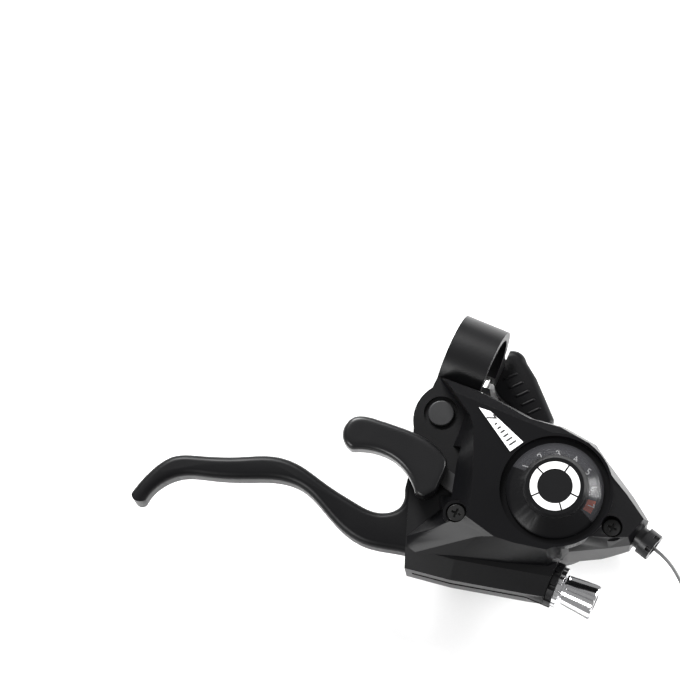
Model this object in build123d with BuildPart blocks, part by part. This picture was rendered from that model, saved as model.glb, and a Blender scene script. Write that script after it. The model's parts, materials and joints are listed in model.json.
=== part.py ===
# Right-hand brake lever with a built-in seven-speed trigger shifter for a flat bicycle handlebar.
# Lengths are millimetres and angles are degrees. The origin is the centre of the handlebar clamp
# bore. X runs along the bar towards the stem, Y towards the rider, and Z up out of the gear dial.
import math
import os

from build123d import *

os.makedirs("parts", exist_ok=True)

# Handlebar clamp
bar_radius = 11.1
bar_gap = 0.5
band_wall = 2.8
band_width = 14.5
clamp_slit = 4.0
clamp_slit_y = -1.0
clamp_bolt_x = 3.4
clamp_bolt_radius = 2.5
clamp_head_radius = 4.25
clamp_head_height = 5.0
clamp_lug_length = 8.2
clamp_nut_height = 4.0

# Bracket casting
half_height = 9.0
bottom_chamfer = 2.2
cable_slit = 2.0
fit = 0.05
seat = 0.02

# Brake lever and its pivot
lever_x = -1.3
lever_y = -21.1
lever_half_height = 4.6
lever_hub_radius = 7.0
pivot_radius = 3.0
bush_radius = 4.2
pivot_head_radius = 4.2
pivot_recess_radius = 5.5
pivot_recess_depth = 1.2
cable_y = -56.2
hook_x = 5.2
hook_radius = 3.2

# Barrel adjuster
boss_radius = 7.3
boss_end = 51.5
castle_length = 2.2
locknut_length = 1.5
locknut_radius = 6.6
knob_length = 11.0
knob_root_radius = 4.6
knob_rim_radius = 5.8
thread_radius = 4.0
thread_length = 9.0
housing_radius = 2.6
housing_depth = 8.0
inner_cable_radius = 0.9

# Gear mechanism, all about one axle
dial_x = 42.6
dial_y = -32.0
axle_radius = 3.0
chamber_radius = 14.8
case_radius = 17.0
case_wall = 1.6
case_depth = 8.5
sleeve_radius = 5.0
groove_radius = 6.2
drum_radius = 8.6
wire_z = 7.2
gear_step = 27.0
gear_count = 7
ratchet_radius = 9.0
index_radius = 12.0

# Top cover and dial
cover_height = 10.5
cover_wall = 1.8
bezel_radius = 15.25
bezel_groove_width = 1.9
bezel_rise = 4.3
hub_radius = 10.0
hub_rise = 1.7
window_wall = 1.2
ring_outer = 7.8
ring_inner = 5.5

# Trigger and thumb lever
trigger_pin_x = 23.6
trigger_pin_y = -43.0
trigger_pin_radius = 2.0
trigger_window = 4.0
plate_thickness = 2.0
finger_top = 8.4
finger_bottom = 0.9
thumb_drop = 6.0
paddle_height = 5.4

# Shift wire
wire_radius = 0.6
coil_x = 121.0
coil_y = -65.0
coil_radius = 12.5
coil_bundle = 6.4

# Heights that follow from the sizes above
bracket_top = half_height
cover_top = bracket_top + cover_height
slot_half = lever_half_height + 0.3
band_radius = bar_radius + band_wall
bolt_z = -(bar_radius + 1.6 + clamp_bolt_radius)
lug_bottom = bolt_z - clamp_head_radius
case_bottom = -half_height - case_depth
thumb_plate_bottom = case_bottom + case_wall + 0.4
thumb_plate_top = thumb_plate_bottom + plate_thickness
paddle_top = min(lug_bottom, thumb_plate_bottom - thumb_drop + plate_thickness + 1.2) - 0.7
paddle_bottom = paddle_top - paddle_height
outer_plate_top = paddle_top - 1.2
outer_plate_bottom = outer_plate_top - plate_thickness
trigger_bottom = bracket_top + 1.5
trigger_top = trigger_bottom + plate_thickness
bezel_seat = cover_top - 3.1
drum_top = bracket_top + 2.0
indicator_bottom = bezel_seat - 1.0
lever_pivot = (lever_x, lever_y)
dial_axis = (dial_x, dial_y)
trigger_pin = (trigger_pin_x, trigger_pin_y)
dial_line = Axis((dial_x, dial_y, 0), (0, 0, 1))
dial_section = Plane(origin=(dial_x, dial_y, 0), x_dir=(1, 0, 0), z_dir=(0, -1, 0))

# The wire leaves the drum on the rider's side and runs straight to the outlet.
wire_heading = -15.4
wire_turn = wire_heading + 90
wire_reach = groove_radius + wire_radius + 0.1
wire_start = (
    dial_x + wire_reach * math.cos(math.radians(wire_turn)),
    dial_y + wire_reach * math.sin(math.radians(wire_turn)),
    wire_z,
)
wire_line = (math.cos(math.radians(wire_heading)), math.sin(math.radians(wire_heading)), 0)
wire_plane = Plane(origin=wire_start, x_dir=(-wire_line[1], wire_line[0], 0), z_dir=wire_line)
outlet_start = 26.0
outlet_length = 8.0
outlet_radius = 3.6
outlet_rim_radius = 4.5
wire_exit = outlet_start + outlet_length


def polar(centre, radius, angle):
    """The point at a radius and an angle about a centre."""
    turn = math.radians(angle)
    return (centre[0] + radius * math.cos(turn), centre[1] + radius * math.sin(turn))


def finger(root, root_half, tip, tip_half):
    """The outline of a finger that narrows from its root to its tip."""
    along = math.degrees(math.atan2(tip[1] - root[1], tip[0] - root[0]))
    return [
        polar(root, root_half, along - 90), polar(tip, tip_half, along - 90),
        polar(tip, tip_half, along + 90), polar(root, root_half, along + 90),
    ]


def inset(points, distance):
    """A closed outline's corners moved inwards by a distance, for an outline drawn clockwise."""
    moved = []
    for i, here in enumerate(points):
        before = points[i - 1]
        after = points[(i + 1) % len(points)]
        first = Vector(here[0] - before[0], here[1] - before[1]).normalized()
        second = Vector(after[0] - here[0], after[1] - here[1]).normalized()
        inward = Vector(first.Y + second.Y, -first.X - second.X)
        scale = distance / (1 + first.dot(second))
        moved.append((here[0] + inward.X * scale, here[1] + inward.Y * scale))
    return moved


def tube(centre, outer, inner, bottom, top):
    """A plain ring or disc that stands upright."""
    with BuildPart() as ring:
        with BuildSketch(Plane.XY.offset(bottom)):
            with Locations(centre):
                Circle(outer)
                if inner > 0:
                    Circle(inner, mode=Mode.SUBTRACT)
        extrude(amount=top - bottom)
    return ring


# The cover's outline where it sits on the bracket, and its narrower outline on top. The corners
# match one to one, clockwise from the arm that reaches the clamp.
cover_base = [
    (-6.6, -10.4), (7.0, -9.6), (15.2, -10.1), (26.5, -11.3), (36.6, -9.9), (47.9, -11.3),
    (52.9, -14.7), (65.2, -22.2), (72.6, -27.6), (70.2, -36.8), (64.2, -40.5), (53.4, -46.4),
    (52.6, -49.6), (49.3, -53.0), (36.9, -57.4), (21.2, -62.0), (6.8, -66.4), (4.9, -61.9),
    (11.0, -50.0), (9.2, -46.9), (6.6, -34.5), (6.4, -24.3), (5.5, -17.8),
]
cover_ridge = [
    (-3.2, -12.6), (6.6, -12.4), (15.4, -13.0), (26.0, -14.2), (36.0, -13.0), (46.6, -14.2),
    (51.0, -17.2), (63.0, -24.6), (69.6, -29.6), (68.0, -35.4), (62.8, -38.9), (52.6, -44.6),
    (50.8, -47.4), (47.6, -50.6), (37.5, -52.6), (27.0, -53.6), (21.0, -55.0), (18.6, -53.4),
    (20.4, -51.0), (20.6, -47.6), (16.0, -34.4), (11.6, -24.2), (9.0, -20.6),
]
front_corner = [(6.8, -66.4), (4.9, -61.9), (21.0, -55.0), (18.6, -53.4)]
screw_places = [(17.0, -50.4), (63.2, -35.4)]
screw_seat = [bracket_top + 5.6, bracket_top + 5.0]

# The way of the shift wire: a channel from the drum that widens to the seat of the outlet
outlet_plane = wire_plane.offset(outlet_start)
with BuildPart() as wire_way:
    with BuildSketch(wire_plane):
        Circle(wire_radius + 0.4)
        with Locations((0, (bracket_top - wire_z) / 2)):
            Rectangle(2 * wire_radius + 0.8, bracket_top - wire_z)
    extrude(amount=outlet_start + 1)
    with BuildSketch(outlet_plane):
        Circle(outlet_radius + fit)
    extrude(amount=2 * outlet_length)

# Bracket: one casting with the clamp, the fork of the brake lever and the gear chamber
with BuildPart() as bracket:
    with BuildSketch(Plane.XY.offset(-half_height)):
        with BuildLine():
            Polyline((-band_width / 2, -8), (-band_width / 2, -14.4))
            ThreePointArc((-band_width / 2, -14.4), (-9.6, -21.0), (-7.6, -28.6))
            Polyline((-7.6, -28.6), (-2.4, -42.8), (7.9, -71.0))
            Polyline((7.9, -71.0), (22.5, -68.8), (34.0, -66.2), (46.0, -63.4), (boss_end, -62.0))
            Polyline((boss_end, -62.0), (boss_end, -48.4), (53.4, -46.4), (64.4, -40.3), (70.0, -36.8))
            Polyline((70.0, -36.8), (72.4, -27.8), (65.2, -22.4), (52.9, -14.9), (47.9, -11.5))
            Polyline((47.9, -11.5), (36.6, -10.1), (26.5, -11.5), (15.2, -10.3), (band_width / 2, -9.8))
            Polyline((band_width / 2, -9.8), (band_width / 2, -8), (-band_width / 2, -8))
        make_face()
    extrude(amount=2 * half_height)
    chamfer(bracket.faces().sort_by(Axis.Z)[0].edges(), length=bottom_chamfer)
    with BuildSketch(Plane.XZ):
        with BuildLine():
            nose_root = dial_x + case_radius + 0.3
            Polyline(
                (nose_root, -half_height - 1), (nose_root, -half_height), (nose_root + 13, wire_z - 5.4),
                (nose_root + 30, wire_z - 5.4), (nose_root + 30, -half_height - 1), close=True,
            )
        make_face()
    extrude(amount=60, both=True, mode=Mode.SUBTRACT)
    front_top = bracket.edges().filter_by(Plane.XY).group_by(Axis.Z)[-1].sort_by(Axis.Y)[0:3]
    chamfer(front_top, length=6.0, length2=3.4)
    with BuildSketch(Plane.YZ.offset(-band_width / 2)):
        Circle(band_radius)
        lug_span = 2 * clamp_lug_length + clamp_slit
        with Locations((clamp_slit_y, lug_bottom / 2)):
            Rectangle(lug_span, -lug_bottom)
    extrude(amount=band_width)
    with BuildSketch(Plane.YZ.offset(boss_end)):
        with Locations((cable_y, 0)):
            Circle(boss_radius)
    extrude(amount=-12)
    # handlebar bore and the slit below it, and room for the bar to pass along the casting
    with BuildSketch(Plane.YZ.offset(-band_width / 2)):
        Circle(bar_radius)
        with Locations((clamp_slit_y, lug_bottom / 2 - 4)):
            Rectangle(clamp_slit, -lug_bottom + 8)
    extrude(amount=band_width, mode=Mode.SUBTRACT)
    with BuildSketch(Plane.YZ.offset(band_width / 2)):
        Circle(bar_radius + bar_gap)
    extrude(amount=80, mode=Mode.SUBTRACT)
    with BuildSketch(Plane.YZ.offset(-band_width / 2)):
        Circle(bar_radius + bar_gap)
    extrude(amount=-20, mode=Mode.SUBTRACT)
    with BuildSketch(Plane.XZ.offset(20)):
        with Locations((clamp_bolt_x, bolt_z)):
            Circle(clamp_bolt_radius + 0.15)
    extrude(amount=-40, mode=Mode.SUBTRACT)
    # slot of the brake lever, open to the grip side
    with BuildSketch(Plane.XY.offset(-slot_half)):
        with BuildLine():
            Polyline(
                (-30, -13.6), (7.6, -13.6), (8.8, -24.0), (9.6, -40.0), (12.4, -50.0), (13.4, -67.0),
                (5.0, -67.0), (-30, -76.0), close=True,
            )
        make_face()
    extrude(amount=2 * slot_half, mode=Mode.SUBTRACT)
    # hole and ring-shaped recess of the pivot pin
    with Locations((lever_x, lever_y, 0)):
        Cylinder(pivot_radius + seat, 4 * half_height, mode=Mode.SUBTRACT)
    with BuildSketch(Plane.XY.offset(bracket_top - pivot_recess_depth)):
        with Locations(lever_pivot):
            Circle(pivot_recess_radius)
    extrude(amount=pivot_recess_depth + 1, mode=Mode.SUBTRACT)
    # gear chamber, its pocket towards the lever, and the channel of the shift wire
    with Locations((dial_x, dial_y, 0)):
        Cylinder(chamber_radius, 4 * half_height, mode=Mode.SUBTRACT)
    with BuildSketch(Plane.XY.offset(-half_height - 1)):
        with BuildLine():
            Polyline(
                (16.2, -15.0), (25.4, -15.0), (24.4, -24.0), (23.4, -38.0), (27.6, -47.2), (27.0, -51.6),
                (17.4, -52.6), (12.2, -38.0), (11.4, -24.0), close=True,
            )
        make_face()
    extrude(amount=half_height + 1 + bracket_top - 4, mode=Mode.SUBTRACT)
    add(wire_way.part, mode=Mode.SUBTRACT)
    # thread of the barrel adjuster, the way of the brake cable and the slit that lets it in
    with BuildSketch(Plane.YZ.offset(boss_end)):
        with Locations((cable_y, 0)):
            Circle(thread_radius + fit)
    extrude(amount=-thread_length - 1, mode=Mode.SUBTRACT)
    with BuildSketch(Plane.YZ.offset(boss_end)):
        with Locations((cable_y, 0)):
            Circle(inner_cable_radius)
    extrude(amount=-boss_end + 10, mode=Mode.SUBTRACT)
    with BuildSketch(Plane.YZ.offset(10)):
        with Locations((cable_y - 10, 0)):
            Rectangle(20, cable_slit)
    extrude(amount=boss_end, mode=Mode.SUBTRACT)
    # threads of the two cover screws, and the stud of the trigger
    for place in screw_places:
        with Locations((place[0], place[1], bracket_top)):
            Cylinder(1.25 + seat, 12, mode=Mode.SUBTRACT)
    with Locations((trigger_pin_x, trigger_pin_y, bracket_top)):
        Cylinder(trigger_pin_radius + seat, 8, mode=Mode.SUBTRACT)
    # stud of the holding pawl, in the wall of the chamber
    pawl_stud = polar(dial_axis, chamber_radius + 1.0, 222)
    with Locations((pawl_stud[0], pawl_stud[1], 0)):
        Cylinder(4.1, 8, mode=Mode.SUBTRACT)
        Cylinder(1.0 + seat, 13, mode=Mode.SUBTRACT)

# Clamp bolt with a socket head, and its nut
with BuildPart() as clamp_bolt:
    bolt_front = clamp_slit_y - clamp_slit / 2 - clamp_lug_length
    bolt_rear = clamp_slit_y + clamp_slit / 2 + clamp_lug_length
    with BuildSketch(Plane.XZ.offset(-bolt_front)):
        with Locations((clamp_bolt_x, bolt_z)):
            Circle(clamp_head_radius)
    extrude(amount=clamp_head_height)
    with BuildSketch(Plane.XZ.offset(-bolt_front)):
        with Locations((clamp_bolt_x, bolt_z)):
            Circle(clamp_bolt_radius)
    extrude(amount=-(bolt_rear - bolt_front + clamp_nut_height + 1))
    with BuildSketch(Plane.XZ.offset(-bolt_front + clamp_head_height)):
        with Locations((clamp_bolt_x, bolt_z)):
            RegularPolygon(2.0, 6, major_radius=False)
    extrude(amount=-clamp_head_height * 0.55, mode=Mode.SUBTRACT)

with BuildPart() as clamp_nut:
    with BuildSketch(Plane.XZ.offset(-bolt_rear)):
        with Locations((clamp_bolt_x, bolt_z)):
            RegularPolygon(3.6, 6, major_radius=False)
            Circle(clamp_bolt_radius + seat, mode=Mode.SUBTRACT)
    extrude(amount=-clamp_nut_height)

# Brake lever: hub, web with the cable hook, and the curved blade
with BuildPart() as brake_lever:
    with BuildSketch(Plane.XY.offset(-lever_half_height)):
        with BuildLine():
            Polyline((-6.6, -27.0), (-3.6, -40.0), (-2.6, -47.6))
            Spline(
                (-2.6, -47.6), (-2.7, -54.6), (-7.6, -57.5), (-15.5, -57.4), (-27.0, -55.4),
                (-37.6, -53.2), (-45.4, -53.9), (-56.0, -58.6), (-68.0, -63.3), (-75.2, -66.6),
                (-79.4, -72.4), (-82.6, -82.4),
            )
            ThreePointArc((-82.6, -82.4), (-80.6, -84.9), (-77.4, -83.2))
            Spline(
                (-77.4, -83.2), (-75.0, -76.4), (-70.2, -71.6), (-61.0, -68.2), (-50.2, -64.1),
                (-40.6, -60.4), (-33.6, -59.9), (-24.4, -63.3), (-15.8, -67.2), (-7.2, -68.6),
                (2.0, -66.8), (8.6, -65.6),
            )
            Polyline((8.6, -65.6), (10.8, -62.0), (9.4, -50.6), (6.2, -40.0), (5.6, -26.0), (-6.6, -27.0))
        make_face()
        with Locations(lever_pivot):
            Circle(lever_hub_radius)
    extrude(amount=2 * lever_half_height)
    blade_rims = brake_lever.edges().filter_by(GeomType.BSPLINE)
    fillet(blade_rims, 2.2)
    with Locations((lever_x, lever_y, 0)):
        Cylinder(bush_radius + seat, 4 * lever_half_height, mode=Mode.SUBTRACT)
    # recess for the return spring around the bush
    with BuildSketch(Plane.XY.offset(lever_half_height - 3.2)):
        with Locations(lever_pivot):
            Circle(6.2)
    extrude(amount=6, mode=Mode.SUBTRACT)
    # seat of the cable hook, and the gap through which the cable reaches it
    with BuildSketch(Plane.XY.offset(-lever_half_height - 1)):
        with Locations((hook_x, cable_y)):
            Circle(hook_radius + fit)
    extrude(amount=2 * lever_half_height - 0.6, mode=Mode.SUBTRACT)
    with BuildSketch(Plane.XY.offset(-1.2)):
        with BuildLine():
            Polyline(
                (hook_x, cable_y + 1.6), (16, cable_y + 2.4), (16, cable_y - 9.0), (hook_x, cable_y - 1.6),
                close=True,
            )
        make_face()
    extrude(amount=2.4, mode=Mode.SUBTRACT)

with BuildPart() as cable_hook:
    with BuildSketch(Plane.XY.offset(-lever_half_height + 0.2)):
        with Locations((hook_x, cable_y)):
            Circle(hook_radius)
    extrude(amount=2 * lever_half_height - 2.0)
    with BuildSketch(Plane.YZ.offset(hook_x - 1.0)):
        with Locations((cable_y, 0)):
            Circle(inner_cable_radius + 0.1)
        with Locations((cable_y - 4, 0)):
            Rectangle(8, 2 * inner_cable_radius + 0.2)
    extrude(amount=10, mode=Mode.SUBTRACT)
    with BuildSketch(Plane.XZ.offset(-cable_y + 2.2)):
        with Locations((hook_x, 0)):
            Circle(2.3)
    extrude(amount=hook_radius, mode=Mode.SUBTRACT)

pivot_bush = tube(lever_pivot, bush_radius, pivot_radius + fit, -lever_half_height, lever_half_height)
lever_spring = tube(lever_pivot, 6.0, bush_radius + 0.3, lever_half_height - 3.0, lever_half_height - 0.1)

with BuildPart() as pivot_pin:
    with BuildSketch(Plane.XY.offset(-half_height - 1.6)):
        with Locations(lever_pivot):
            Circle(pivot_radius)
    extrude(amount=2 * half_height + 1.6 - pivot_recess_depth)
    with BuildSketch(Plane.XY.offset(bracket_top - pivot_recess_depth)):
        with Locations(lever_pivot):
            Circle(pivot_head_radius)
    extrude(amount=pivot_recess_depth + 0.3)
    chamfer(pivot_pin.faces().sort_by(Axis.Z)[-1].edges(), 0.3)

pivot_clip = tube(lever_pivot, 4.8, pivot_radius + seat, -half_height - 1.2, -half_height - 0.1)

# Barrel adjuster: castellated lock ring, lock nut and fluted knob on one threaded stem
castle_start = boss_end + 0.1
nut_start = castle_start + castle_length + 0.1
knob_start = nut_start + locknut_length + 0.2
with BuildPart() as castle_ring:
    with BuildSketch(Plane.YZ.offset(castle_start)):
        with Locations((cable_y, 0)):
            Circle(boss_radius)
            Circle(thread_radius + fit, mode=Mode.SUBTRACT)
            with PolarLocations(boss_radius, 10):
                Circle(0.9, mode=Mode.SUBTRACT)
    extrude(amount=castle_length)

with BuildPart() as lock_nut:
    with BuildSketch(Plane.YZ.offset(nut_start)):
        with Locations((cable_y, 0)):
            Circle(locknut_radius)
            Circle(thread_radius + fit, mode=Mode.SUBTRACT)
            with PolarLocations(locknut_radius, 16):
                Circle(0.45, mode=Mode.SUBTRACT)
    extrude(amount=locknut_length)

with BuildPart() as barrel_adjuster:
    with BuildSketch(Plane.YZ.offset(boss_end - thread_length)):
        with Locations((cable_y, 0)):
            Circle(thread_radius)
    extrude(amount=knob_start - boss_end + thread_length)
    with BuildSketch(Plane.YZ.offset(knob_start)):
        with Locations((cable_y, 0)):
            Circle(knob_root_radius)
    with BuildSketch(Plane.YZ.offset(knob_start + knob_length)):
        with Locations((cable_y, 0)):
            Circle(knob_rim_radius)
    loft()
    with BuildSketch(Plane.YZ.offset(knob_start + 1.2)):
        with Locations((cable_y, 0)):
            with PolarLocations(knob_rim_radius + 0.55, 8):
                Circle(1.25)
    extrude(amount=knob_length, mode=Mode.SUBTRACT)
    with BuildSketch(Plane.YZ.offset(knob_start + knob_length)):
        with Locations((cable_y, 0)):
            Circle(housing_radius)
    extrude(amount=-housing_depth, mode=Mode.SUBTRACT)
    with BuildSketch(Plane.YZ.offset(boss_end - thread_length)):
        with Locations((cable_y, 0)):
            Circle(inner_cable_radius)
    extrude(amount=thread_length + knob_length + 6, mode=Mode.SUBTRACT)


def faceted(wall):
    """The cover's outer shape, or with a wall the hollow that leaves this wall all round."""
    # the hollow stops short of the solid front corner
    base = [p for p in cover_base if wall == 0 or p not in front_corner]
    ridge = [p for p in cover_ridge if wall == 0 or p not in front_corner]
    with BuildPart() as shape:
        with BuildSketch(Plane.XY.offset(bracket_top)):
            with BuildLine():
                Polyline(*inset(base, wall), close=True)
            make_face()
        with BuildSketch(Plane.XY.offset(cover_top - wall)):
            with BuildLine():
                Polyline(*inset(ridge, wall), close=True)
            make_face()
        loft(ruled=True)
        # the arm falls to the clamp, the nose to the wire outlet and the front to the seam
        for start, slope in [
            ((0, -15.6), (0, 0.62, 1)),
            ((58.6, dial_y), (0.42, 0, 1)),
            ((20, -50.6), (-0.14, -0.6, 1)),
        ]:
            roof = Plane(origin=(start[0], start[1], cover_top - wall), z_dir=slope)
            split(bisect_by=roof, keep=Keep.BOTTOM)
    return shape


# Top cover: a faceted shell over the gear chamber, with the seat of the dial
groove_outer = bezel_radius + 0.1 + bezel_groove_width
with BuildPart() as top_cover:
    add(faceted(0).part)
    add(faceted(cover_wall).part, mode=Mode.SUBTRACT)
    add(tube(dial_axis, groove_outer + 0.9, bezel_radius - 1.4, bezel_seat - 1.6, cover_top).part)
    for place, head_seat in zip(screw_places, screw_seat):
        add(tube(place, 4.2, 0, bracket_top, head_seat + 1.2).part)
        add(tube(place, 3.3, 0, head_seat, cover_top + 1).part, mode=Mode.SUBTRACT)
        add(tube(place, 1.4, 0, bracket_top - 1, cover_top).part, mode=Mode.SUBTRACT)
    # seat of the dial and the groove around it
    add(tube(dial_axis, bezel_radius + 0.1, 0, bezel_seat, cover_top + 1).part, mode=Mode.SUBTRACT)
    add(tube(dial_axis, bezel_radius - 1.4, 0, bracket_top, cover_top).part, mode=Mode.SUBTRACT)
    add(
        tube(dial_axis, groove_outer, bezel_radius - 1, cover_top - 2.2, cover_top + 1).part,
        mode=Mode.SUBTRACT,
    )
    # handlebar clamp, wire outlet and the window that the trigger comes out of
    with BuildSketch(Plane.YZ.offset(-band_width)):
        Circle(band_radius + 0.1)
    extrude(amount=2 * band_width, mode=Mode.SUBTRACT)
    with BuildSketch(Plane.XY.offset(bracket_top)):
        with BuildLine():
            Polyline((-2, -29.5), (21.5, -29.5), (21.5, -45.8), (9, -45.8), (-2, -52), close=True)
        make_face()
    extrude(amount=trigger_window, mode=Mode.SUBTRACT)
    add(wire_way.part, mode=Mode.SUBTRACT)

# Screws of the cover, with a cross recess
with BuildPart() as cover_screws:
    for place, head_seat in zip(screw_places, screw_seat):
        with BuildSketch(Plane.XY.offset(head_seat)):
            with Locations(place):
                Circle(2.7)
        extrude(amount=1.6)
        with BuildSketch(Plane.XY.offset(bracket_top - 5.0)):
            with Locations(place):
                Circle(1.25)
        extrude(amount=head_seat - bracket_top + 5.0)
        with BuildSketch(Plane.XY.offset(head_seat + 0.7)):
            with Locations(place):
                Rectangle(3.0, 0.7)
                Rectangle(0.7, 3.0)
        extrude(amount=2, mode=Mode.SUBTRACT)

# Label plate on the flat of the cover
with BuildPart() as label_plate:
    with BuildSketch(Plane.XY.offset(cover_top)):
        with BuildLine():
            Polyline((10.4, -17.2), (14.2, -16.9), (27.6, -22.0), (25.0, -26.4), close=True)
        make_face()
    extrude(amount=0.4)

# Dial: a conical bezel with a wide cut, the clear window that fills it, and the trim on the hub
cone_bottom = cover_top - 1.4
cone_top = cone_bottom + bezel_rise
hub_top = cone_top + hub_rise
window_from = -18.0
window_to = 173.0


def dial_ring(inner_offset):
    """Half section of the dial's cone, from its base to its hub, with a wall of some thickness."""
    with BuildSketch(dial_section) as half:
        with BuildLine():
            Polyline(
                (hub_radius, cone_top), (bezel_radius, cone_bottom),
                (bezel_radius, cone_bottom - inner_offset), (hub_radius, cone_top - inner_offset),
                close=True,
            )
        make_face()
    return half.sketch


def window_wedge(play):
    """The sector of the window, tall enough to cut the dial, wider by some play at each edge."""
    steps = 8
    span = (window_to - window_from) / steps
    rim = [polar(dial_axis, 40, window_from + span * i) for i in range(steps + 1)]
    first = polar(dial_axis, play, window_from - 90)
    last = polar(dial_axis, play, window_to + 90)
    with BuildPart() as wedge:
        with BuildSketch(Plane.XY.offset(cover_top - 6)):
            with BuildLine():
                Polyline(first, *rim, last, close=True)
            make_face()
            with Locations(dial_axis):
                Circle(hub_radius + 0.6 - play, mode=Mode.SUBTRACT)
        extrude(amount=20)
    return wedge.part


with BuildPart() as dial_bezel:
    with BuildSketch(dial_section):
        with BuildLine():
            Polyline(
                (0, hub_top), (hub_radius - 0.9, hub_top), (hub_radius, hub_top - 0.9),
                (hub_radius, cone_top), (bezel_radius, cone_bottom), (bezel_radius, bezel_seat + fit),
                (bezel_radius - 1.6, bezel_seat + fit), (bezel_radius - 1.6, cone_bottom - window_wall),
                (hub_radius, cone_top - window_wall), (hub_radius, cone_top - 0.4 - window_wall),
                (0, cone_top - 0.4 - window_wall), close=True,
            )
        make_face()
    revolve(axis=dial_line)
    add(window_wedge(0.0), mode=Mode.SUBTRACT)
    # a low rim carries the window across its sector
    outer_rim = tube(dial_axis, bezel_radius, bezel_radius - 1.0, bezel_seat + fit, cone_bottom - window_wall)
    inner_rim_bottom = cone_top - 1.6 - window_wall
    inner_rim = tube(dial_axis, hub_radius + 0.7, hub_radius - 1, inner_rim_bottom, cone_top - 1.8)
    add(outer_rim.part)
    add(inner_rim.part)
    # seats of the trim ring and the centre cap
    add(tube(dial_axis, ring_outer, 0, hub_top - 0.6, hub_top + 1).part, mode=Mode.SUBTRACT)

with BuildPart() as dial_window:
    extrude_from = dial_ring(window_wall)
    revolve(extrude_from, axis=dial_line)
    add(window_wedge(-0.05), mode=Mode.INTERSECT)

with BuildPart() as chrome_ring:
    add(tube(dial_axis, ring_outer - seat, ring_inner + seat, hub_top - 0.6, hub_top + 0.15).part)
    for gap_angle in (79, -3, -52, -133, 156):
        with BuildSketch(Plane.XY.offset(hub_top - 0.1)):
            with Locations(polar(dial_axis, (ring_outer + ring_inner) / 2, gap_angle)):
                Rectangle(ring_outer - ring_inner + 1, 0.35, rotation=gap_angle)
        extrude(amount=2, mode=Mode.SUBTRACT)

centre_cap = tube(dial_axis, ring_inner, 0, hub_top - 0.6, hub_top + 0.05)

# Outlet of the shift wire: a stepped barrel with a castellated rim and a seat for the housing
with BuildPart() as shift_outlet:
    with BuildSketch(outlet_plane.offset(0.3)):
        Circle(outlet_radius)
    extrude(amount=outlet_length - 0.3)
    with BuildSketch(outlet_plane.offset(outlet_length - 4.2)):
        Circle(outlet_rim_radius)
    extrude(amount=4.2)
    with BuildSketch(outlet_plane.offset(outlet_length - 1.8)):
        with PolarLocations(outlet_rim_radius, 6):
            Circle(0.8)
    extrude(amount=3, mode=Mode.SUBTRACT)
    with BuildSketch(outlet_plane.offset(outlet_length - 5.0)):
        Circle(housing_radius)
    extrude(amount=6, mode=Mode.SUBTRACT)
    with BuildSketch(outlet_plane):
        Circle(inner_cable_radius)
    extrude(amount=outlet_length, mode=Mode.SUBTRACT)

# Gear mechanism: axle, winding drum with its two ratchet wheels, pawls and springs
with BuildPart() as main_axle:
    add(tube(dial_axis, axle_radius, 0, case_bottom - 3.6, drum_top + 1.6).part)
    clip_groove = tube(dial_axis, axle_radius + 0.1, axle_radius - 0.7, drum_top + 0.4, drum_top + 1.0)
    add(clip_groove.part, mode=Mode.SUBTRACT)

axle_clip = tube(dial_axis, axle_radius + 1.6, axle_radius - 0.7 + seat, drum_top + 0.42, drum_top + 0.98)

with BuildPart() as axle_nut:
    with BuildSketch(Plane.XY.offset(case_bottom - 3.2)):
        with Locations(dial_axis):
            RegularPolygon(4.5, 6, major_radius=False)
            Circle(axle_radius + seat, mode=Mode.SUBTRACT)
    extrude(amount=3.2)

drive_bottom = thumb_plate_top + 0.2
drive_top = drive_bottom + 2.0
with BuildPart() as cable_drum:
    add(tube(dial_axis, sleeve_radius, 0, drive_bottom, drum_top).part)
    add(tube(dial_axis, drum_radius, 0, wire_z - 2.4, drum_top).part)
    with BuildSketch(dial_section):
        with Locations((drum_radius, wire_z)):
            Rectangle(2 * (drum_radius - groove_radius), 2 * wire_radius + 0.4)
    revolve(axis=dial_line, mode=Mode.SUBTRACT)
    add(tube(dial_axis, axle_radius + fit, 0, drive_bottom - 1, drum_top + 1).part, mode=Mode.SUBTRACT)
    head_place = polar(dial_axis, groove_radius, wire_turn + 30)
    add(tube(head_place, 1.75, 0, wire_z - 2.0, drum_top + 1).part, mode=Mode.SUBTRACT)

wire_head = tube(head_place, 1.7, 0, wire_z - 1.9, drum_top - 0.2)


def saw_wheel(radius, depth, teeth, bottom, top, start):
    """A ratchet wheel whose teeth stand one gear step apart on part of its rim."""
    rim = []
    for i in range(teeth):
        rim.append(polar(dial_axis, radius - depth, start + i * gear_step))
        rim.append(polar(dial_axis, radius, start + (i + 0.82) * gear_step))
    last = start + teeth * gear_step
    rest = [polar(dial_axis, radius - depth, last + (start + 360 - last) * i / 6) for i in range(6)]
    with BuildPart() as wheel:
        with BuildSketch(Plane.XY.offset(bottom)):
            with BuildLine():
                Polyline(*rim, *rest, close=True)
            make_face()
            with Locations(dial_axis):
                Circle(sleeve_radius + seat, mode=Mode.SUBTRACT)
        extrude(amount=top - bottom)
    return wheel


drive_wheel = saw_wheel(ratchet_radius, 1.8, gear_count, drive_bottom, drive_top, 20)
index_wheel = saw_wheel(index_radius, 2.0, gear_count, -3.0, -1.0, 60)
thumb_spring = tube(dial_axis, sleeve_radius + 2.6, sleeve_radius + 0.3, drive_top + 0.3, -half_height + 1.4)
drum_spring = tube(dial_axis, drum_radius, sleeve_radius + 0.3, -0.5, wire_z - 2.7)

# Indicator disc with its flag, on top of the drum
with BuildPart() as indicator_disc:
    add(tube(dial_axis, 7.6, 5.8, drum_top, indicator_bottom).part)
    add(tube(dial_axis, bezel_radius - 2.0, 0, indicator_bottom, indicator_bottom + 0.9).part)

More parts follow.
